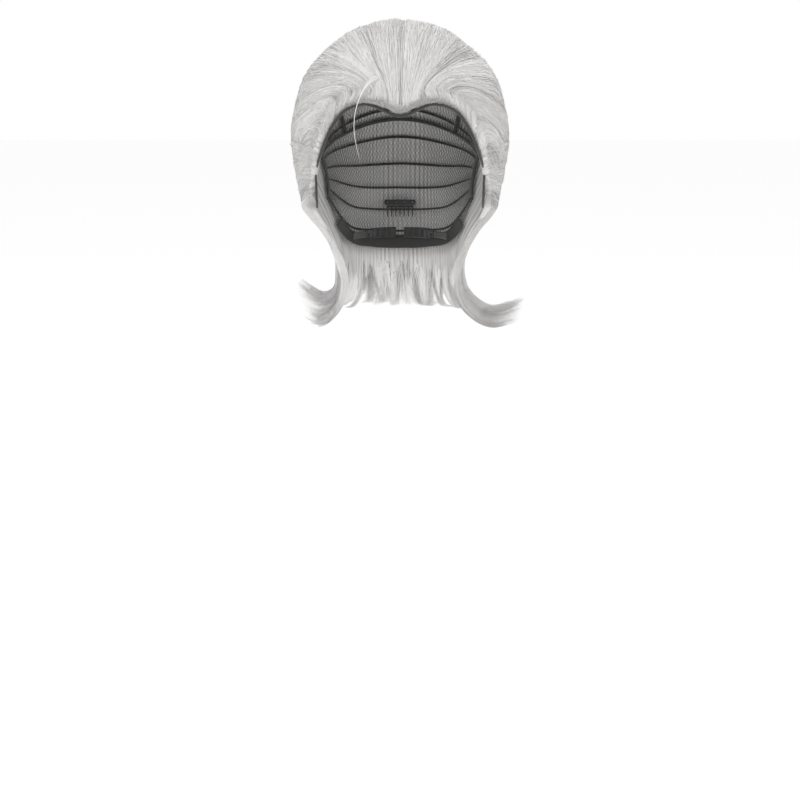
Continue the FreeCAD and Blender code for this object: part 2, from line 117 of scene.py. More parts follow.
def edge_table(pairs):
    """Samples a smooth symmetric curve through (tilt, angle) pairs."""
    xs = np.array([p[0] for p in pairs], float)
    ys = np.array([p[1] for p in pairs], float)
    slopes = np.gradient(ys, xs)
    slopes[0] = 0.0
    at = np.linspace(0, xs[-1], 281)
    k = np.clip(np.searchsorted(xs, at, side="right") - 1, 0, len(xs) - 2)
    width = xs[k + 1] - xs[k]
    t = (at - xs[k]) / width
    value = ys[k] * (1 + 2 * t) * (1 - t) ** 2 + slopes[k] * width * t * (1 - t) ** 2
    return at, value + ys[k + 1] * t * t * (3 - 2 * t) + slopes[k + 1] * width * t * t * (t - 1)


FRONT_TABLE = edge_table(FRONT_EDGE)
NAPE_TABLE = edge_table(NAPE_EDGE)
FRONT_LEVEL_TABLE = edge_table(FRONT_LEVEL)
NAPE_LEVEL_TABLE = edge_table(NAPE_LEVEL)


def head_excess(p, lift):
    x, y, z = p[..., 0], p[..., 1], p[..., 2]
    drop = np.clip(-z / NAPE_DEPTH, 0.0, 1.0)
    half = HEAD_HALF_WIDTH * (1 - SIDE_TAPER * drop ** 2)
    back = HEAD_BACK * (1 - BACK_TAPER * drop ** BACK_TAPER_POWER)
    depth = np.where(y > 0, back, HEAD_FRONT)
    rise = np.where(z > 0, (z / (HEAD_TOP + lift)) ** 2, 0.0)
    return (x / (half + lift)) ** 2 + (y / (depth + lift)) ** 2 + rise - 1


def on_head(direction, lift):
    """Where rays from the ear axis meet the head grown by lift."""
    ray = unit(direction)
    lift = np.broadcast_to(np.asarray(lift, float), ray.shape[:-1])
    near = np.full(ray.shape[:-1], 20.0)
    far = np.full(ray.shape[:-1], 180.0)
    for _ in range(26):
        middle = (near + far) / 2
        out = head_excess(EAR + ray * middle[..., None], lift) > 0
        far = np.where(out, middle, far)
        near = np.where(out, near, middle)
    return EAR + ray * far[..., None]


def at_angle(angle, tilt, lift):
    turn, lean = np.radians(angle), np.radians(tilt)
    ray = np.stack([np.sin(lean) + 0 * turn, -np.cos(lean) * np.cos(turn),
                    np.cos(lean) * np.sin(turn)], axis=-1)
    return on_head(ray, lift)


def on_cap(row, tilt, lift):
    """Points of the cap at a row (0 front edge, 1 nape edge) and a tilt towards the side."""
    row, tilt = np.broadcast_arrays(np.asarray(row, float), np.asarray(tilt, float))
    lean = np.abs(tilt)
    from_front, from_nape = smooth(row / LEVELLING_ROWS), smooth((1 - row) / LEVELLING_ROWS)
    front = mix(np.interp(lean, *FRONT_TABLE), np.interp(lean, *FRONT_LEVEL_TABLE), from_front)
    nape = mix(np.interp(lean, *NAPE_TABLE), np.interp(lean, *NAPE_LEVEL_TABLE), from_nape)
    return at_angle(mix(front, nape, row), tilt, lift)


def tab_point(side, down, across, lift):
    """Points of an ear tab; down runs root to tip and across runs front to ear."""
    front = mix(*TAB_FRONT_TILTS, down)
    rear = mix(*TAB_EAR_TILTS, down)
    return at_angle(mix(*TAB_ANGLES, down), side * mix(front, rear, across), lift)


def side_guides(side):
    guides = []
    for number, guide in enumerate(GUIDES[1:], 1):
        rise_share = RIGHT_FLIP_RISE_SHARES.get(number, 0.0)
        line = []
        for k, (x, y, z) in enumerate(guide):
            if side < 0 and k >= RIGHT_FLIP_STATION and x > RIGHT_FLIP_START:
                x = RIGHT_FLIP_START + (x - RIGHT_FLIP_START) * RIGHT_FLIP_REACH
                z += RIGHT_FLIP_RISE.get(k, 0.0) * rise_share
            line.append((side * x, y, z))
        guides.append(line)
    return guides


GRID = np.array(side_guides(-1)[::-1] + [GUIDES[0]] + side_guides(1), float)


def spline_weights(at, count):
    """Neighbours and weights of a smooth curve through evenly numbered points."""
    k = np.clip(at.astype(int), 0, count - 2)
    t = (at - k)[..., None]
    weights = np.concatenate([-t + 2 * t ** 2 - t ** 3, 2 - 5 * t ** 2 + 3 * t ** 3,
                              t + 4 * t ** 2 - 3 * t ** 3, t ** 3 - t ** 2], axis=-1) / 2
    return k, weights


def padded_grid():
    g = np.concatenate([2 * GRID[:1] - GRID[1:2], GRID, 2 * GRID[-1:] - GRID[-2:-1]], axis=0)
    return np.concatenate([2 * g[:, :1] - g[:, 1:2], g, 2 * g[:, -1:] - g[:, -2:-1]], axis=1)


PADDED = padded_grid()


def flow(guide, station):
    """The hair's outer surface at a guide (-6 right, 6 left) and station (0 hairline, 14 tips)."""
    guide, station = np.broadcast_arrays(np.asarray(guide, float), np.asarray(station, float))
    i, wi = spline_weights(guide + 6, 13)
    j, wj = spline_weights(station, 15)
    out = 0.0
    for a in range(4):
        for b in range(4):
            out = out + PADDED[i + a, j + b] * (wi[..., a] * wj[..., b])[..., None]
    return out


def flow_normal(guide, station):
    wide, step = 1.0, 0.4
    across = flow(np.minimum(guide + wide, 6.0), station) - flow(np.maximum(guide - wide, -6.0), station)
    along = flow(guide, np.minimum(station + step, LAST_STATION))
    along = along - flow(guide, np.maximum(station - step, 0.0))
    return unit(np.cross(across, along))


def thickness_table():
    """How deep the hair is under the flow surface, on a grid of guides and stations."""
    guides, stations = np.meshgrid(np.linspace(-6, 6, 49), np.linspace(0, 14, 57), indexing="ij")
    point = flow(guides, stations)
    scalp = on_head(point - EAR, HAIR_INNER)
    deep = np.sum((point - scalp) * flow_normal(guides, stations), axis=-1)
    hang = mix(*HANG_THICKNESS, np.clip((stations - HANG_START) / (LAST_STATION - HANG_START), 0, 1))
    return mix(np.maximum(deep, 0.6), hang, smooth((stations - LEAVES_CAP) / LEAVING_LENGTH))


THICKNESS = thickness_table()


def thickness(guide, station):
    i = np.clip((guide + 6) * 4, 0, 47.999)
    j = np.clip(station * 4, 0, 55.999)
    i0, j0 = i.astype(int), j.astype(int)
    a, b = i - i0, j - j0
    low = mix(THICKNESS[i0, j0], THICKNESS[i0, j0 + 1], b)
    return mix(low, mix(THICKNESS[i0 + 1, j0], THICKNESS[i0 + 1, j0 + 1], b), a)


# ---------------------------------------------------------------- meshes
def new_object(name, verts, faces_loops, face_sizes, material, uv=None, tone=None):
    """A mesh object from arrays: loop vertex numbers and the size of each face."""
    mesh = bpy.data.meshes.new(name)
    mesh.vertices.add(len(verts))
    mesh.vertices.foreach_set("co", (verts * MM).astype(np.float32).ravel())
    mesh.loops.add(len(faces_loops))
    mesh.loops.foreach_set("vertex_index", faces_loops.astype(np.int32))
    mesh.polygons.add(len(face_sizes))
    starts = np.concatenate([[0], np.cumsum(face_sizes)[:-1]])
    mesh.polygons.foreach_set("loop_start", starts.astype(np.int32))
    mesh.polygons.foreach_set("use_smooth", np.ones(len(face_sizes), bool))
    if uv is not None:
        layer = mesh.uv_layers.new(name="OFBake")
        layer.data.foreach_set("uv", uv.astype(np.float32).ravel())
    if tone is not None:
        colour = mesh.color_attributes.new("tone", "FLOAT_COLOR", "POINT")
        colour.data.foreach_set("color", tone.astype(np.float32).ravel())
    mesh.update(calc_edges=True)
    mesh.validate()
    mesh.materials.append(material)
    obj = bpy.data.objects.new(name, mesh)
    bpy.context.scene.collection.objects.link(obj)
    return obj


def tube_arrays(path, up, wide, tall, corners, tones=None):
    """Closed tubes along many paths at once.

    path and up are (tubes, rings, 3); wide and tall are the half sizes across and along up.
    """
    tubes, rings, _ = path.shape
    along = unit(np.gradient(path, axis=1))
    across = unit(np.cross(along, up))
    out = unit(np.cross(across, along))
    angle = (np.arange(corners) + 0.25) / corners * 2 * np.pi
    wide = np.broadcast_to(wide, (tubes, rings))[..., None, None]
    tall = np.broadcast_to(tall, (tubes, rings))[..., None, None]
    ring = across[:, :, None] * np.cos(angle)[None, None, :, None] * wide
    ring = ring + out[:, :, None] * np.sin(angle)[None, None, :, None] * tall
    verts = (path[:, :, None] + ring).reshape(-1, 3)

    number = np.arange(tubes * rings * corners).reshape(tubes, rings, corners)
    after = np.roll(number, -1, axis=2)
    quads = np.stack([number[:, :-1], after[:, :-1], after[:, 1:], number[:, 1:]], axis=-1)
    caps = np.concatenate([number[:, 0, ::-1], number[:, -1]], axis=0)
    loops = np.concatenate([quads.ravel(), caps.ravel()])
    sizes = np.concatenate([np.full(quads.size // 4, 4), np.full(len(caps), corners)])

    column = np.arange(tubes) / tubes
    share = np.linspace(0.002, 0.998, rings)
    spot = np.arange(corners + 1) / corners * 0.8 + 0.1
    u0 = column[:, None, None] + spot[None, None, :-1] / tubes + np.zeros((1, rings - 1, 1))
    u1 = column[:, None, None] + spot[None, None, 1:] / tubes + np.zeros((1, rings - 1, 1))
    v0 = np.broadcast_to(share[None, :-1, None], u0.shape)
    v1 = np.broadcast_to(share[None, 1:, None], u0.shape)
    uv = np.stack([np.stack([u0, v0], -1), np.stack([u1, v0], -1),
                   np.stack([u1, v1], -1), np.stack([u0, v1], -1)], axis=3).reshape(-1, 2)
    cap_u = np.concatenate([column, column])[:, None] + spot[None, :-1] / tubes
    cap_v = np.repeat([0.001, 0.999], tubes)[:, None] + np.zeros((1, corners))
    uv = np.concatenate([uv, np.stack([cap_u, cap_v], -1).reshape(-1, 2)])

    if tones is None:
        tones = np.full(tubes, 0.5)
    colour = np.zeros((tubes, rings, corners, 4))
    colour[..., 0] = tones[:, None, None]
    # The second channel runs from root to tip and carries the painted root shade of the hair materials.
    colour[..., 1] = np.linspace(0, 1, rings)[None, :, None]
    colour[..., 3] = 1.0
    return verts, loops, sizes, uv, colour.reshape(-1, 4)


def join_arrays(sets):
    """Several results of tube_arrays as one, with their texture columns side by side."""
    verts, loops, sizes, uvs, tones = [], [], [], [], []
    start = 0
    for k, (v, l, s, uv, tone) in enumerate(sets):
        verts.append(v)
        loops.append(l + start)
        sizes.append(s)
        uvs.append(uv * [1 / len(sets), 1.0] + [k / len(sets), 0.0])
        tones.append(tone)
        start += len(v)
    return [np.concatenate(a) for a in (verts, loops, sizes, uvs, tones)]


def make_tubes(name, sets, material, body, replaces=()):
    verts, loops, sizes, uv, tone = join_arrays(sets)
    obj = new_object(name, verts, loops, sizes, material, uv, tone)
    if body:
        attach(obj, body)
    if replaces:
        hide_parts(*replaces)
    return obj


# ---------------------------------------------------------------- materials
class Nodes:
    """Short names for making a material's nodes."""

    def __init__(self, name, roughness, **constants):
        self.material = bpy.data.materials.new(name)
        self.material.use_nodes = True
        self.tree = self.material.node_tree
        self.shader = self.tree.nodes["Principled BSDF"]
        self.shader.inputs["Roughness"].default_value = roughness
        for key, value in constants.items():
            self.shader.inputs[key.replace("_", " ")].default_value = value

    def add(self, kind, inputs=None, **settings):
        node = self.tree.nodes.new(kind)
        for key, value in settings.items():
            setattr(node, key, value)
        for key, value in (inputs or {}).items():
            if isinstance(value, bpy.types.NodeSocket):
                self.tree.links.new(value, node.inputs[key])
            else:
                node.inputs[key].default_value = value
        return node

    def ramp(self, fac, stops):
        node = self.add("ShaderNodeValToRGB", {"Fac": fac})
        elements = node.color_ramp.elements
        while len(elements) < len(stops):
            elements.new(0.5)
        for element, (at, colour) in zip(elements, stops):
            element.position = at
            element.color = (*colour, 1.0)
        return node.outputs["Color"]

    def math(self, operation, a, b=0.5):
        return self.add("ShaderNodeMath", {0: a, 1: b}, operation=operation).outputs[0]

    def colour(self, socket):
        self.tree.links.new(socket, self.shader.inputs["Base Color"])

    def bump(self, height, strength, distance):
        node = self.add("ShaderNodeBump", {"Height": height, "Strength": strength, "Distance": distance})
        self.tree.links.new(node.outputs["Normal"], self.shader.inputs["Normal"])


def grey(value, warm=0.0):
    return (value * (1 + warm), value, value * (1 - warm))


def hair_material(name, dark, light, painted_root_shade=0.55):
    """Silver fibre: a tone for each strand, darker at the root as painted shade, with fine changes along it."""
    m = Nodes(name, 0.42, Specular_IOR_Level=0.45, Sheen_Weight=0.15, Sheen_Roughness=0.4)
    tone = m.add("ShaderNodeAttribute", attribute_name="tone")
    parts = m.add("ShaderNodeSeparateColor", {"Color": tone.outputs["Color"]})
    place = m.add("ShaderNodeTexCoord").outputs["Object"]
    patch = m.add("ShaderNodeTexNoise", {"Vector": place, "Scale": 55.0, "Detail": 2.0}).outputs["Fac"]
    level = m.math("ADD", parts.outputs["Red"], m.math("MULTIPLY", m.math("SUBTRACT", patch, 0.5), 0.25))
    strand = m.ramp(level, [(0.0, grey(dark, 0.03)), (0.35, grey(mix(dark, light, 0.55), 0.02)),
                            (0.7, grey(light, 0.008)), (1.0, grey(min(light * 1.1, 0.95), 0.002))])
    # Painted shade: each strand darkens towards its root, where it comes out from under the hair, and gets a
    # little lighter towards the tip.
    root = m.ramp(parts.outputs["Green"], [(0.0, grey(painted_root_shade)), (0.05, grey(0.94)),
                                           (0.75, grey(0.97)), (1.0, grey(1.0))])
    blend = m.add("ShaderNodeMix", data_type="RGBA", blend_type="MULTIPLY")
    blend.inputs["Factor"].default_value = 1.0
    m.tree.links.new(strand, blend.inputs["A"])
    m.tree.links.new(root, blend.inputs["B"])
    m.colour(blend.outputs["Result"])
    return m.material


def thread_material(name, value, weave=2600.0, roughness=0.85):
    """Dark spun thread or cloth with a fine twist."""
    m = Nodes(name, roughness, Specular_IOR_Level=0.3, Sheen_Weight=0.35, Sheen_Roughness=0.5)
    place = m.add("ShaderNodeTexCoord").outputs["Object"]
    twist = m.add("ShaderNodeTexWave", {"Vector": place, "Scale": weave / 6, "Distortion": 2.0},
                  wave_type="BANDS", bands_direction="DIAGONAL").outputs["Fac"]
    fuzz = m.add("ShaderNodeTexNoise", {"Vector": place, "Scale": weave, "Detail": 3.0}).outputs["Fac"]
    level = m.math("ADD", m.math("MULTIPLY", twist, 0.5), m.math("MULTIPLY", fuzz, 0.5))
    m.colour(m.ramp(level, [(0.2, grey(value * 0.6)), (0.55, grey(value, 0.02)), (0.85, grey(value * 1.7, 0.03))]))
    m.bump(level, 0.5, 0.0002)
    return m.material


def hard_material(name, value, roughness, metallic, scale):
    """Lacquered steel, bare steel or moulded nylon, with slight wear."""
    m = Nodes(name, roughness, Metallic=metallic)
    place = m.add("ShaderNodeTexCoord").outputs["Object"]
    wear = m.add("ShaderNodeTexNoise", {"Vector": place, "Scale": scale, "Detail": 4.0}).outputs["Fac"]
    m.colour(m.ramp(wear, [(0.3, grey(value * 0.8)), (0.6, grey(value)), (0.8, grey(value * 1.35, 0.01))]))
    rough = m.add("ShaderNodeMapRange", {"Value": wear, "To Min": roughness * 0.8, "To Max": roughness * 1.25})
    m.tree.links.new(rough.outputs["Result"], m.shader.inputs["Roughness"])
    m.bump(wear, 0.15, 0.0002)
    return m.material


HAIR = hair_material("silver_hair", 0.44, 0.84)
# A lighter copy of the silver hair with almost no root shade, for the forelock that hangs in front: painted light.
LIT_HAIR = hair_material("silver_hair_lit", 0.58, 0.86, 0.95)
# A darker copy of the silver hair for the dense hair bed under the loose strands: painted shade.
SHADED_UNDER_HAIR = hair_material("silver_hair_under_shaded", 0.30, 0.68)
NET = thread_material("cap_net", 0.035)
LACE = thread_material("front_lace", 0.06)
BAND = thread_material("edge_band", 0.035, 1800.0)
WEFT = thread_material("weft_stitching", 0.05)
TAPE = thread_material("woven_tape", 0.03, 2000.0)
ELASTIC = thread_material("ribbed_elastic", 0.04, 1500.0)
NYLON = hard_material("black_nylon", 0.03, 0.45, 0.0, 900.0)
LACQUER = hard_material("lacquered_steel", 0.025, 0.3, 0.0, 700.0)
STEEL = hard_material("stay_steel", 0.45, 0.35, 1.0, 600.0)


# ---------------------------------------------------------------- hair
def sweep(guide, station):
    """How far a strand drifts across the guides: up towards the middle, then out and over."""
    size = np.abs(guide)
    share = smooth(size / 2.6) * smooth((6.0 - size) / 2.0)
    rise = -0.75 * np.sin(np.pi * np.clip(station / 2.2, 0, 1)) ** 2
    return np.sign(guide) * share * (rise + 1.5 * smooth((station - 0.9) / 3.2))


def groove(guide):
    """0 on the top of a lock and 1 in the groove between two locks."""
    wave = np.sin(guide * 6.3 + 1.4 * np.sin(guide * 2.3 + 0.7)) + 0.35 * np.sin(guide * 17.0 + 1.0)
    return smooth((wave - 0.25) / 0.9)


def strand_paths(count, rings, guides, starts, lengths, depths, clumps, pull, spread,
                 end_limit=LAST_STATION, root_depth=7.0, root_share=0.12, tuck=0.0, end_spread=(-0.5, 0.5),
                 centres=None, swept=True, grooved=1.5):
    """Paths of strands that follow the flow, gathered into clumps towards their ends.

    Returns the paths, their outward directions, each strand's clump and how deep it is in a groove.
    """
    middle = rng.uniform(guides[0], guides[1], clumps)
    if centres is not None:
        middle = rng.choice(np.array(centres), clumps) + rng.normal(0, 0.12, clumps)
        middle = np.clip(middle, guides[0], guides[1])
    clump_end = rng.uniform(end_spread[0], end_spread[1], clumps)
    clump_depth = rng.uniform(0.0, 1.0, clumps)
    which = rng.integers(0, clumps, count)
    guide0 = middle[which] + rng.normal(0.0, spread, count)
    guide0 = np.clip(guide0, guides[0], guides[1])
    start = rng.uniform(starts[0], starts[1], count)
    end = start + rng.uniform(lengths[0], lengths[1], count)
    limit = end_limit + np.minimum(clump_end[which], 0.0) - rng.uniform(0.0, 0.6, count) ** 2
    end = np.minimum(np.maximum(end + clump_end[which], start + 1.0), np.maximum(limit, start + 0.8))
    t = np.linspace(0, 1, rings)[None]
    station = start[:, None] + (end - start)[:, None] * t
    gather = pull * smooth((t - 0.15) / 0.85)
    guide = mix(guide0[:, None], middle[which][:, None], gather)
    if swept:
        from_start = sweep(guide0[:, None], np.maximum(start[:, None], 0.9) + 0 * t)
        guide = guide + sweep(guide, station) - np.where(start[:, None] > 0.3, from_start, 0.0) * 0.6
    wave = rng.uniform(0, 2 * np.pi, (count, 1))
    clump_wave = rng.uniform(0, 2 * np.pi, clumps)[which][:, None]
    guide = guide + 0.05 * np.sin(clump_wave + 0.9 * station)
    guide = guide + rng.normal(0, 0.035, (count, 1)) * np.sin(wave + 5.0 * t)
    guide = guide + rng.normal(0, 0.012, (count, 1)) * np.sin(2 * wave + 13.0 * t)
    guide = np.clip(guide, -6.0, 6.0)
    room = thickness(guide, station)
    own = rng.random((count, 1)) ** 1.4
    own = mix(own, clump_depth[which][:, None], 0.35 + 0.5 * gather / max(pull, 0.01))
    depth = mix(depths[0], depths[1], own)
    depth = depth + root_depth * (1 - smooth(t / root_share)) + tuck * smooth((t - 0.7) / 0.3)
    sunk = groove(guide0)
    depth = depth + rng.normal(0, 0.2, (count, 1)) * np.sin(wave + 9 * t) + grooved * sunk[:, None]
    depth = np.minimum(depth, room * 0.9)
    normal = flow_normal(guide, station)
    return flow(guide, station) - normal * depth[..., None], normal, which, sunk


def strand_set(path, up, which, sunk, width, tone_range, taper=0.5, clump_share=0.55):
    """Tubes for strands: full width along most of the strand, fine at both ends."""
    count, rings, _ = path.shape
    t = np.linspace(0, 1, rings)[None]
    shape = np.clip(np.minimum(t / 0.06 + 0.35, (1 - t) / taper), 0.06, 1.0) ** 0.7
    radius = rng.uniform(width[0], width[1], (count, 1)) / 2 * shape
    clump_tone = rng.uniform(0, 1, which.max() + 1)
    # Painted shade: strands that lie in a groove between two locks get a darker tone.
    tone = mix(*tone_range, mix(rng.random(count), clump_tone[which], clump_share)) - 0.3 * sunk
    return tube_arrays(path, up, radius, radius * 0.8, 3, tone)


def bed_object(name, guides, stations, columns, rows, depth, material, ragged=0.0):
    """The dense hair under the loose strands: a closed skin that follows the flow."""
    g = np.linspace(*guides, columns + 1)[:, None]
    s = np.linspace(*stations, rows + 1)[None]
    s = s - ragged * smooth((s - stations[1] + 1.5) / 1.5) * rng.random((columns + 1, 1))
    g, s = np.broadcast_arrays(g, s)
    point, normal, room = flow(g, s), flow_normal(g, s), thickness(g, s)
    ridge = 0.5 * np.sin(g * 37.0 + 2.5 * np.sin(s * 0.9 + g)) + 0.35 * np.sin(g * 83.0 + s * 0.4)
    top_depth = np.minimum(depth + ridge, room * 0.7)
    top = point - normal * top_depth[..., None]
    low = point - normal * np.maximum(room * 0.97, top_depth + 0.3)[..., None]
    size = (columns + 1) * (rows + 1)
    number = np.arange(size).reshape(columns + 1, rows + 1)

    def quads(n, flip):
        q = np.stack([n[:-1, :-1], n[1:, :-1], n[1:, 1:], n[:-1, 1:]], axis=-1).reshape(-1, 4)
        return q[:, ::-1] if flip else q

    faces = [quads(number, True), quads(number + size, False)]
    rim = np.concatenate([number[:, 0], number[-1, 1:], number[-2::-1, -1], number[0, -2:0:-1]])
    after = np.roll(rim, -1)
    faces.append(np.stack([rim, after, after + size, rim + size], axis=-1))
    loops = np.concatenate(faces).ravel()
    tone = np.zeros((2 * size, 4))
    wave = np.clip(0.5 + 0.35 * np.sin(g * 37.0 + 2.5 * np.sin(s * 0.9 + g)) + 0.15 * np.sin(g * 131.0), 0, 1)
    tone[:, 0] = np.concatenate([wave.ravel(), wave.ravel()])
    tone[:, 1] = 0.6
    tone[:, 3] = 1
    u = np.concatenate([(g - guides[0]).ravel(), (g - guides[0]).ravel()]) / (guides[1] - guides[0])
    half = (s - stations[0]).ravel() / 2
    v = np.concatenate([half, half + (stations[1] - stations[0]) / 2])
    uv = np.stack([u, v / (stations[1] - stations[0])], axis=-1)[loops]
    verts = np.concatenate([top.reshape(-1, 3), low.reshape(-1, 3)])
    obj = new_object(name, verts, loops, np.full(len(loops) // 4, 4), material, uv, tone)
    return obj


MIDDLE_GUIDES = (-2.2, 2.2)
LEFT_GUIDES = (2.2, 6.0)
RIGHT_GUIDES = (-6.0, -2.2)
CAD_HAIR = {
    "cap": ["front_hair", "crown_hair", "back_hair", "temple_hair_left", "temple_hair_right",
            "side_hair_left", "side_hair_right", "rear_side_hair_left", "rear_side_hair_right"],
    "nape_curtain": ["nape_hair"],
    "flips_left": ["rear_flip_left", "upper_flip_left", "lower_flip_left"],
    "flips_right": ["rear_flip_right", "upper_flip_right", "lower_flip_right"],
}


FINE = (0.34, 0.56)
TONES = (0.25, 0.9)
TOP_STRANDS, LONG_STRANDS, UNDER_STRANDS, RIM_STRANDS = 2290, 1880, 2100, 1500


def build_cap_hair():
    """Hair that starts at the hairline or on a weft and ends on the cap."""
    bed = bed_object("hair_bed", (-6.0, 6.0), (0.12, 9.9), 190, 90, 2.6, SHADED_UNDER_HAIR)
    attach(bed, "cap")
    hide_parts(*CAD_HAIR["cap"])
    zones = {"middle": (-2.4, 2.4), "left": (2.0, 6.0), "right": (-6.0, -2.0)}
    for name, guides in zones.items():
        front = strand_paths(TOP_STRANDS, 15, guides, (0.0, 0.1), (3.8, 6.0), (0.0, 2.4), 70, 0.3, 0.14,
                             root_depth=0.6, root_share=0.05, tuck=2.0)
        make_tubes(f"front_strands_{name}", [strand_set(*front, FINE, TONES)], HAIR, "cap")
        over = strand_paths(TOP_STRANDS, 15, guides, (0.35, 4.4), (3.5, 5.5), (0.0, 2.8), 90, 0.3, 0.16,
                            end_limit=9.9, tuck=2.0)
        make_tubes(f"crown_strands_{name}", [strand_set(*over, FINE, TONES)], HAIR, "cap")


def hanging_piece(name, sets):
    piece = make_tubes(name, sets, HAIR, None)
    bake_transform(piece)


def build_hanging_hair():
    """Hair that leaves the cap, crosses the nape and ends in the flipped tips."""
    zones = {"nape_curtain": (MIDDLE_GUIDES, None), "flips_left": (LEFT_GUIDES, (2.7, 3.6, 4.6, 5.1, 5.9)),
             "flips_right": (RIGHT_GUIDES, (-2.7, -3.6, -4.6, -5.1, -5.9))}
    for body, (guides, centres) in zones.items():
        bed = bed_object(f"hair_bed_{body}", guides, (9.4, 11.7), 60, 40, 3.0, SHADED_UNDER_HAIR, 0.9)
        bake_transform(bed)
        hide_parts(*CAD_HAIR[body])
        loose = -2.2 if body == "nape_curtain" else -1.1
        long = strand_paths(LONG_STRANDS, 18, guides, (4.6, 8.2), (8.0, 11.0), (-1.2, 3.0), 34, 0.72, 0.3,
                            end_spread=(loose, 0.2), centres=centres, swept=False, grooved=0.5)
        hanging_piece(f"long_strands_{body}", [strand_set(*long, FINE, (0.5, 1.0), 0.45)])
        deep = strand_paths(UNDER_STRANDS, 16, guides, (7.6, 9.6), (4.5, 7.0), (1.0, 9.5), 22, 0.8, 0.35,
                            end_spread=(loose - 0.9, 0.0), centres=centres, swept=False, grooved=0.5)
        hanging_piece(f"under_strands_{body}", [strand_set(*deep, FINE, (0.3, 0.9), 0.45)])
    for body, rim in (("flips_left", (5.0, 6.0)), ("flips_right", (-6.0, -5.0))):
        edge = strand_paths(RIM_STRANDS, 22, rim, (0.0, 5.0), (9.0, 14.0), (-1.2, 6.5), 24, 0.5, 0.3,
                            end_spread=(-1.2, 0.0), root_depth=1.0, swept=False, grooved=0.5)
        hanging_piece(f"rim_strands_{body}", [strand_set(*edge, FINE, (0.25, 0.9), 0.3)])


def build_forelock():
    """A thin tendril of a few dozen strands that thins to a hair."""
    line = np.array([FORELOCK_ROOT] + FORELOCK, float)
    rings, count = 30, 90
    k, w = spline_weights(np.linspace(0, len(line) - 1, rings), len(line))
    ends = np.concatenate([[2 * line[0] - line[1]], line, [2 * line[-1] - line[-2]]])
    path = sum(ends[k + a] * w[:, a:a + 1] for a in range(4))
    t = np.linspace(0, 1, rings)
    along = unit(np.gradient(path, axis=0))
    side = unit(np.cross(along, np.array([0.0, -1.0, 0.2])))
    front = np.cross(side, along)
    angle = rng.uniform(0, 2 * np.pi, (count, 1))
    spread = mix(2.4, 0.2, smooth(t / 0.55)) * mix(0.3, 1.0, smooth(t / 0.16))
    reach = np.sqrt(rng.random((count, 1))) * spread[None]
    turn = angle + rng.normal(0, 0.5, (count, 1)) * t[None] * 2
    cut = (1 - 0.62 * rng.random((count, 1)) ** 0.45) * t[None] * (rings - 1)
    low = np.clip(cut.astype(int), 0, rings - 2)
    share = (cut - low)[..., None]

    def take(values):
        return mix(values[low], values[low + 1], share)

    strands = take(path) + take(side) * (reach * np.cos(turn))[..., None]
    strands = strands + take(front) * (reach * np.sin(turn) * 0.7)[..., None]
    up = np.broadcast_to(np.array([0.0, -1.0, 0.1]), strands.shape)
    # The forelock's strands take the lightest tones: painted light.
    tendril = strand_set(strands, up, rng.integers(0, 6, count), 0.0, (0.3, 0.45), (0.7, 1.0))
    make_tubes("forelock_strands", [tendril], LIT_HAIR, "forelock", ["forelock"])


def build_baby_hair():
    """Short fine hairs along the front hairline."""
    count, rings = 700, 7
    guide = np.clip(rng.normal(0, 1.6, count), -4.5, 4.5)[:, None]
    t = np.linspace(0, 1, rings)[None]
    grow = flow(guide + rng.normal(0, 0.25, (count, 1)) * t, t * rng.uniform(0.25, 0.7, (count, 1)))
    down = rng.uniform(0.0, 2.6, (count, 1)) * np.sin(np.pi * t)
    path = grow + flow_normal(guide, 0.2 + 0 * t) * (rng.uniform(0.1, 1.6, (count, 1)) * t)[..., None]
    path = path - np.array([0, 0, 1.0]) * down[..., None] * 0.35
    up = flow_normal(guide, 0.2 + 0 * t)
    make_tubes("baby_hairs", [strand_set(path, up, rng.integers(0, 20, count), 0.0, (0.2, 0.34), (0.0, 0.7))],
               HAIR, "cap")


# ---------------------------------------------------------------- the cap
def zigzag(rows, tilts, pitch_rows, cells, lift, radius):
    """Net threads that run ear to ear and touch their neighbours at every turn."""
    count = max(2, round((rows[1] - rows[0]) / pitch_rows))
    steps = cells * 2 + 1
    row = rows[0] + (np.arange(count)[:, None] + 0.5) * (rows[1] - rows[0]) / count
    swing = np.where(np.arange(steps) % 2, 0.5, -0.5)[None] * np.where(np.arange(count) % 2, 1, -1)[:, None]
    row = row + swing * (rows[1] - rows[0]) / count
    tilt = np.broadcast_to(np.linspace(*tilts, steps)[None], row.shape)
    path = on_cap(row, tilt, lift)
    return tube_arrays(path, unit(path - EAR), radius, radius, 3)


def strip(place, steps, half_width, half_thick, corners=8, edge_waves=0):
    """A flat band along a path: place(share) gives points, and the head's middle gives its face."""
    t = np.linspace(0, 1, steps)
    path = place(t)[None]
    rib = 1 + 0.18 * np.sin(t * np.pi * 2 * edge_waves) if edge_waves else 1.0
    return tube_arrays(path, unit(path - EAR), half_width, half_thick * rib, corners)


def stitches(place, steps, half, radius=0.18):
    """Small slanted stitches over a band's edge."""
    t = np.linspace(0.01, 0.99, steps)
    point = place(t)
    along = unit(np.gradient(point, axis=0))
    out = unit(point - EAR)
    across = np.cross(along, out)
    shape = np.linspace(-1, 1, 5)
    path = point[:, None] + across[:, None] * (shape * half)[None, :, None]
    path = path + along[:, None] * (shape * half * 0.4)[None, :, None]
    path = path + out[:, None] * (0.35 * (1 - shape ** 2))[None, :, None]
    return tube_arrays(path, np.broadcast_to(out[:, None], path.shape), radius, radius, 3)


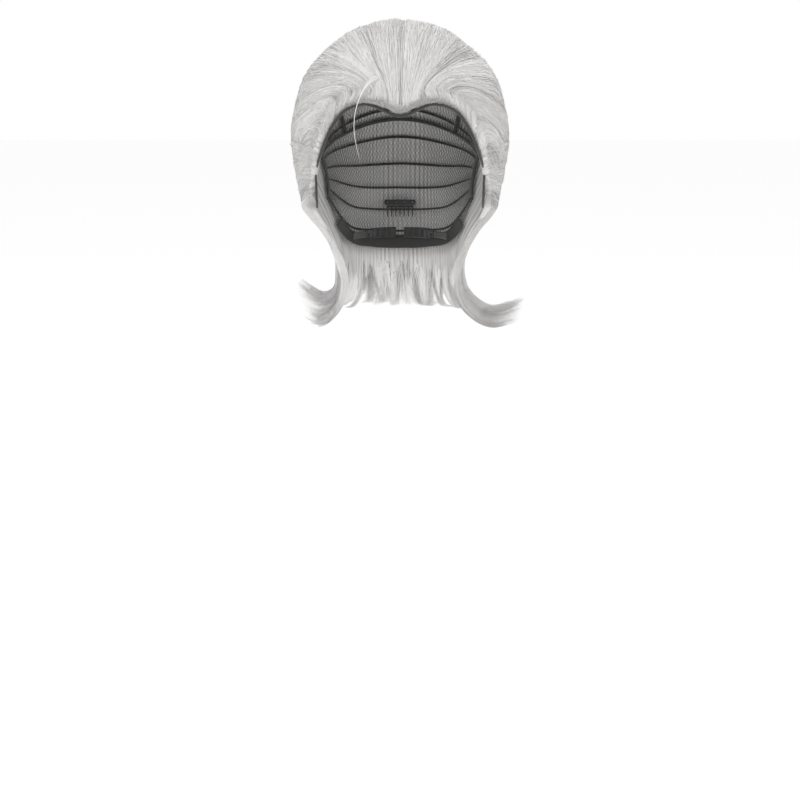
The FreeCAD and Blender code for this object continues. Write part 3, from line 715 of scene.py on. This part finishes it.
def build_cap():
    lace = [zigzag((0.004, 0.06), LACE_TILTS, 0.0042, 60, 1.8, 0.11)]
    make_tubes("lace_mesh", lace, LACE, "cap", ["front_lace"])
    panels = {
        "crown_net": ((0.064, 0.55), LACE_TILTS, 36),
        "side_net_left": ((0.0, 0.55), (35.0, 66.0), 20),
        "side_net_right": ((0.0, 0.55), (-66.0, -35.0), 20),
        "back_net": ((0.554, 1.0), (-66.0, 66.0), 62),
    }
    for name, (rows, tilts, cells) in panels.items():
        make_tubes(f"{name}_threads", [zigzag(rows, tilts, 0.0098, cells, 1.8, 0.26)], NET, "cap", [name])
    seams = []
    for tilt in (-34.85, 34.85):
        seams.append(strip(lambda t, k=tilt: on_cap(mix(0.0, 0.55, t), k, 1.5), 60, 2.0, 0.35))
        seams.append(stitches(lambda t, k=tilt: on_cap(mix(0.0, 0.55, t), k, 1.1), 110, 1.5))
    seams.append(strip(lambda t: on_cap(0.552, mix(-64, 64, t), 1.5), 70, 2.0, 0.35))
    seams.append(strip(lambda t: on_cap(0.062, mix(*LACE_TILTS, t), 1.5), 40, 1.4, 0.3))
    make_tubes("panel_seams", seams, BAND, "cap")

    front = [strip(lambda t: on_cap(-0.005, mix(-61, 61, t), 1.5), 160, 1.4, 1.2, 10)]
    front.append(stitches(lambda t: on_cap(-0.003, mix(-60, 60, t), 2.3), 150, 1.1))
    for side in (-1, 1):
        front.append(strip(lambda t, k=side: at_angle(mix(28.0, 25.4, t), k * 60.9, 1.5), 12, 1.3, 1.1, 10))
    make_tubes("front_binding", front, BAND, "cap", ["front_edge_band"])
    nape = [strip(lambda t: on_cap(0.972, mix(-48, 48, t), 0.7), 120, 8.0, 0.5, 14)]
    for row in (0.952, 0.972, 0.992):
        nape.append(stitches(lambda t, r=row: on_cap(r, mix(-47, 47, t), 0.25), 70, 0.9))
    make_tubes("nape_binding", nape, BAND, "cap", ["nape_band"])
    for side, sign in (("left", 1), ("right", -1)):
        rim = [strip(lambda t, k=sign: on_cap(mix(0.05, 0.93, t), k * 64.2, 0.8), 110, 2.6, 0.5, 12)]
        rim.append(stitches(lambda t, k=sign: on_cap(mix(0.06, 0.92, t), k * 65.2, 0.5), 90, 1.2))
        make_tubes(f"ear_rim_{side}", rim, BAND, "cap", [f"ear_binding_{side}"])


def build_wefts():
    """Each weft is three sewn cords with a zigzag stitch over them."""
    for i in range(WEFT_COUNT):
        row = mix(*WEFT_ROWS, i / (WEFT_COUNT - 1)) + 0.0045
        sets = []
        for k in (-1, 0, 1):
            sets.append(strip(lambda t, r=row + k * 0.0022: on_cap(r, mix(-61, 61, t), 2.9), 90, 0.5, 0.45, 6, 60))
        sets.append(zigzag((row - 0.0035, row + 0.0035), (-61, 61), 0.0035, 70, 2.5, 0.16))
        make_tubes(f"weft_{i + 1:02d}", sets, WEFT, "cap", [f"weft_tape_{i + 1:02d}"])


def build_ear_tabs():
    for side, sign in (("left", 1), ("right", -1)):
        rows, steps = 17, 21
        down = (np.arange(rows)[:, None] + 0.5) / rows
        swing = np.where(np.arange(steps) % 2, 0.5, -0.5)[None] * np.where(np.arange(rows) % 2, 1, -1)[:, None]
        across = np.broadcast_to(np.linspace(0, 1, steps)[None], (rows, steps))
        path = tab_point(sign, down + swing / rows, across, 1.8)
        mesh = [tube_arrays(path, unit(path - EAR), 0.22, 0.22, 3)]
        mesh.append(strip(lambda t, k=sign: tab_point(k, t, 0.97, 1.8), 40, 0.8, 0.4))
        mesh.append(strip(lambda t, k=sign: tab_point(k, 0.985, t, 1.8), 16, 0.8, 0.4))
        mesh.append(strip(lambda t, k=sign: tab_point(k, 0.02, t, 1.8), 16, 0.8, 0.4))
        make_tubes(f"tab_mesh_{side}", mesh, NET, f"tab_{side}", [f"ear_tab_{side}"])
        edge = [strip(lambda t, k=sign: tab_point(k, t, -0.13, 1.6), 44, 1.15, 1.0, 10)]
        edge.append(stitches(lambda t, k=sign: tab_point(k, t, -0.1, 2.2), 30, 1.0))
        make_tubes(f"tab_binding_{side}", edge, BAND, f"tab_{side}", [f"ear_tab_edging_{side}"])


def ring_point(angle, radius, height):
    turn = np.radians(angle)
    return np.stack([radius * np.sin(turn), TRACK_Y + radius * np.cos(turn), height + 0 * turn], axis=-1)


def track_strip(sign, angles, radius, height, steps, half_width, half_thick, corners, ribs=0):
    t = np.linspace(0, 1, steps)
    path = ring_point(sign * mix(*angles, t), radius, height)[None]
    out = unit(path - np.array([0, TRACK_Y, height]))
    thick = half_thick * (1 + 0.22 * np.sin(t * np.pi * 2 * ribs)) if ribs else half_thick
    return tube_arrays(path, out, half_width, thick, corners)


def build_adjusters():
    for side, sign in (("left", 1), ("right", -1)):
        tape = [track_strip(sign, (4, 34), 51.2, TRACK_HEIGHT, 60, 5.0, 0.28, 14, 26)]
        for height in (-81.8, -73.2):
            tape.append(track_strip(sign, (4.3, 33.7), 50.9, height, 90, 0.22, 0.2, 4, 30))
        make_tubes(f"tape_{side}", tape, TAPE, "cap", [f"loop_tape_{side}"])
        loops = []
        for i in range(4):
            middle = sign * (9.0 + 7.0 * i)
            for shift in (-0.45, 0.0, 0.45):
                t = np.linspace(0, 1, 25)
                height = TRACK_HEIGHT + 4.2 * np.cos(np.pi * t)
                radius = 50.95 - 1.75 * np.clip(np.sin(np.pi * t) * 3.2, 0, 1)
                path = ring_point(middle + shift + 0 * t, radius, 0.0)
                path[:, 2] = height
                out = np.broadcast_to(np.array([0.0, 0.0, 1.0]) + 0.01, path.shape)
                along = unit(np.gradient(path, axis=0))
                side_up = np.cross(along, ring_point(middle + 90 + 0 * t, 1, 0) - [0, TRACK_Y, 0])
                loops.append(tube_arrays(path[None], unit(side_up + 1e-4 * out)[None], 0.2, 0.2, 5))
        make_tubes(f"loops_{side}", loops, TAPE, "cap", [f"thread_loops_{side}"])
        strap = [track_strip(sign, (39.5, 59.8), 50.2, TRACK_HEIGHT, 90, 3.4, 0.26, 14, 24)]
        make_tubes(f"elastic_{side}", strap, ELASTIC, "cap", [f"elastic_strap_{side}"])


def paint_cad(names, material):
    for name in names:
        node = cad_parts[name]
        for held in node.material_slots:
            held.material = material


def build_hard_parts():
    paint_cad([f"strap_hook_{s}" for s in ("left", "right")], NYLON)
    paint_cad([f"snap_comb_{p}_{s}" for p in ("base", "teeth") for s in ("left", "right", "nape")], LACQUER)
    paint_cad([f"ear_stay_{s}" for s in ("left", "right")], STEEL)


# ---------------------------------------------------------------- stage
def look_at(obj, target):
    obj.rotation_euler = (target - obj.location).to_track_quat("-Z", "Y").to_euler()


def area_light(name, place, target, size, watts):
    from mathutils import Vector
    light = bpy.data.lights.new(name, "AREA")
    light.shape = "DISK"
    light.size = size
    light.energy = watts
    obj = bpy.data.objects.new(name, light)
    bpy.context.scene.collection.objects.link(obj)
    obj.location = place
    look_at(obj, Vector(target))


def build_stage():
    from mathutils import Vector
    bpy.ops.mesh.primitive_plane_add(size=12.0, location=(0, 0, -0.56))
    floor = bpy.context.object
    floor.name = "floor"
    m = Nodes("pale_floor", 0.9)
    m.shader.inputs["Base Color"].default_value = (0.97, 0.97, 0.97, 1.0)
    floor.data.materials.append(m.material)

    camera = bpy.data.cameras.new("camera")
    camera.sensor_width = 36.0
    camera.lens = 74.6
    view = bpy.data.objects.new("camera", camera)
    bpy.context.scene.collection.objects.link(view)
    view.location = (0.0, -1.5, 0.16)
    look_at(view, Vector((0.0, 0.0, -0.225)))
    bpy.context.scene.camera = view

    area_light("key", (-0.9, -1.5, 1.2), (0, 0, 0), 0.9, 9.0)
    area_light("fill", (1.3, -1.2, 0.7), (0, 0, -0.02), 1.1, 3.5)
    area_light("top", (0.1, 0.3, 1.6), (0, 0, 0), 1.0, 4.0)
    area_light("back", (0.3, 1.5, 0.7), (0, 0, -0.05), 1.2, 3.0)
    world = bpy.data.worlds.new("studio")
    world.use_nodes = True
    world.node_tree.nodes["Background"].inputs["Color"].default_value = (1.0, 1.0, 1.0, 1.0)
    world.node_tree.nodes["Background"].inputs["Strength"].default_value = 1.0
    bpy.context.scene.world = world
    bpy.context.scene.view_settings.view_transform = "Standard"


build_stage()
build_cap_hair()
build_hanging_hair()
build_forelock()
build_baby_hair()
build_cap()
build_wefts()
build_ear_tabs()
build_adjusters()
build_hard_parts()
